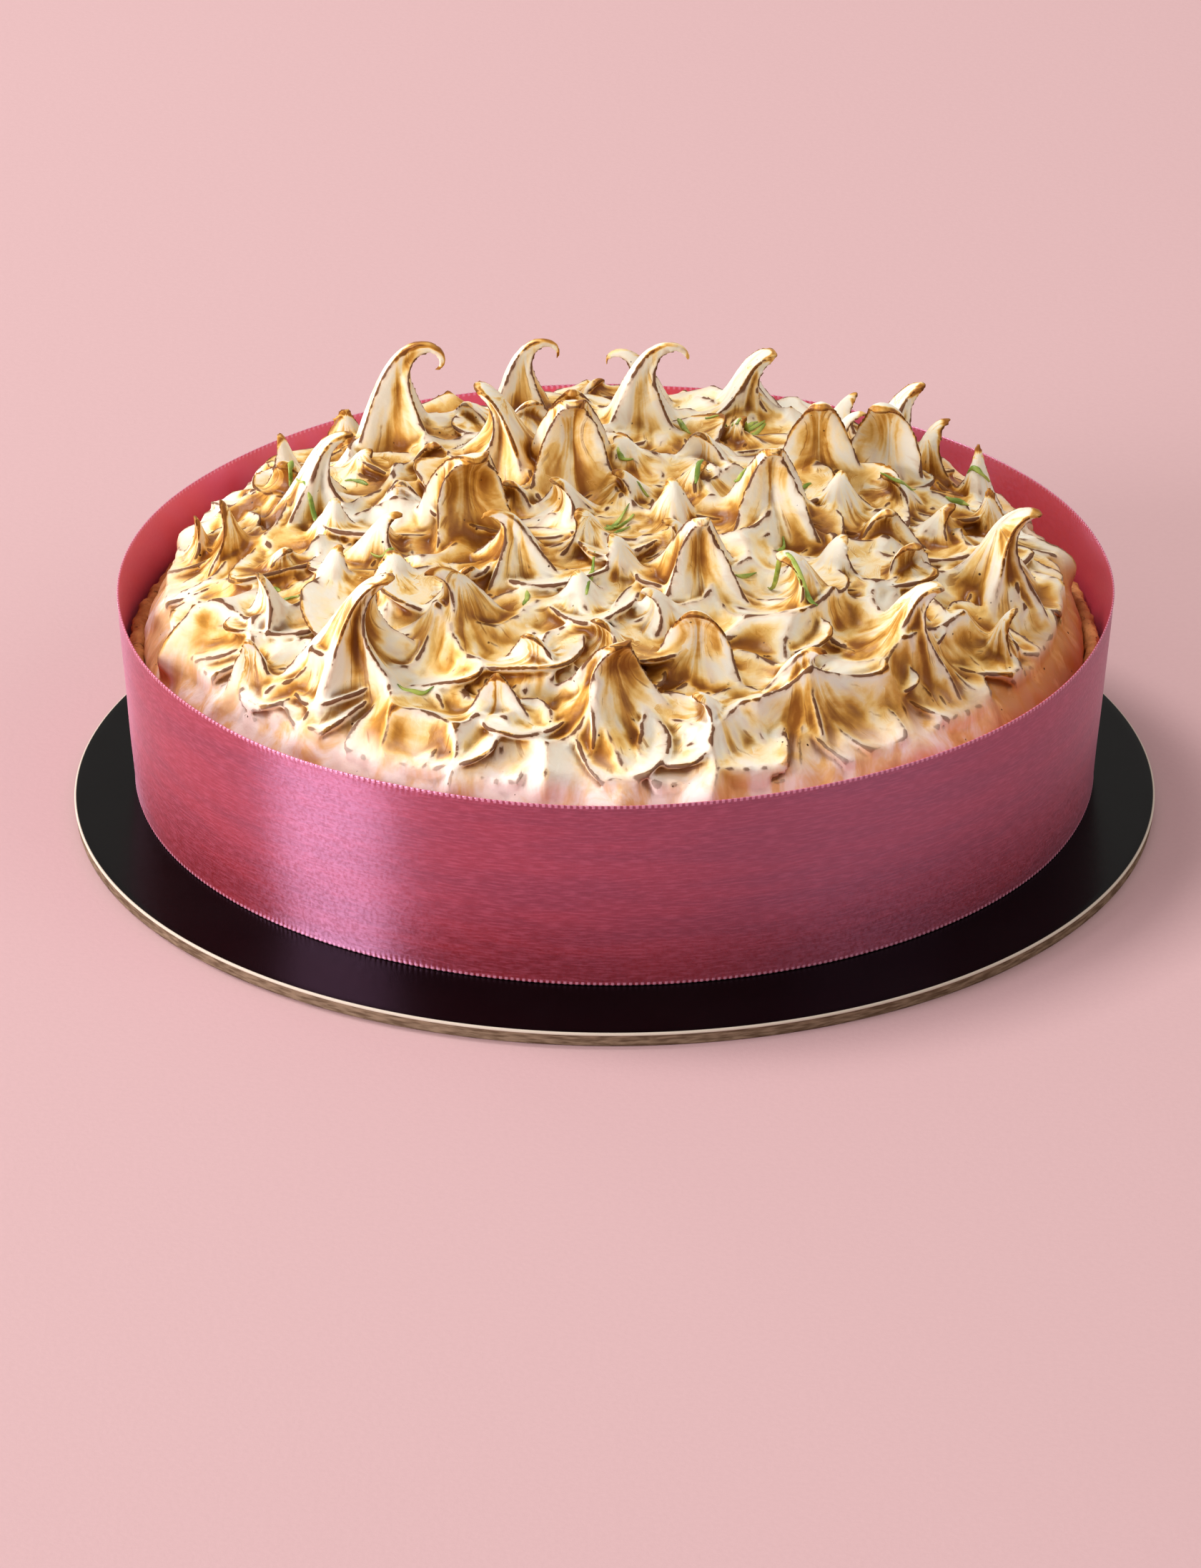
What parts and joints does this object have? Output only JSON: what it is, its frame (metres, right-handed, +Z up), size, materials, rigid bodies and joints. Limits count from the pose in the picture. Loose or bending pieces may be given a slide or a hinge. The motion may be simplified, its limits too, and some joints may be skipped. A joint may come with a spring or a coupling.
{
  "type": "lemon meringue pie",
  "caption": "Round lemon meringue pie: torched, hooked meringue peaks with lime zest on a pastry case, wrapped in a satin ribbon, standing on a thin round cake board.",
  "frame": {"origin": "centre of the cake board's underside, on the surface it stands on", "axes": "+Z up, -Y towards the front of the pie, +X to the right seen from the front"},
  "size_m": [0.28, 0.28, 0.1022],
  "materials": {
    "board_card": "board with a gloss black face and a bare grey-brown edge",
    "baked_pastry": "baked shortcrust pastry, dry and speckled",
    "satin": "raspberry satin ribbon with a woven picot edge",
    "torched_meringue": "soft Italian meringue, white to golden brown where it was torched, with lime zest"
  },
  "bodies": {
    "root": {"cake_board": "board_card", "pastry_case": "baked_pastry", "ribbon": "satin", "meringue": "torched_meringue"}
  },
  "joints": []
}
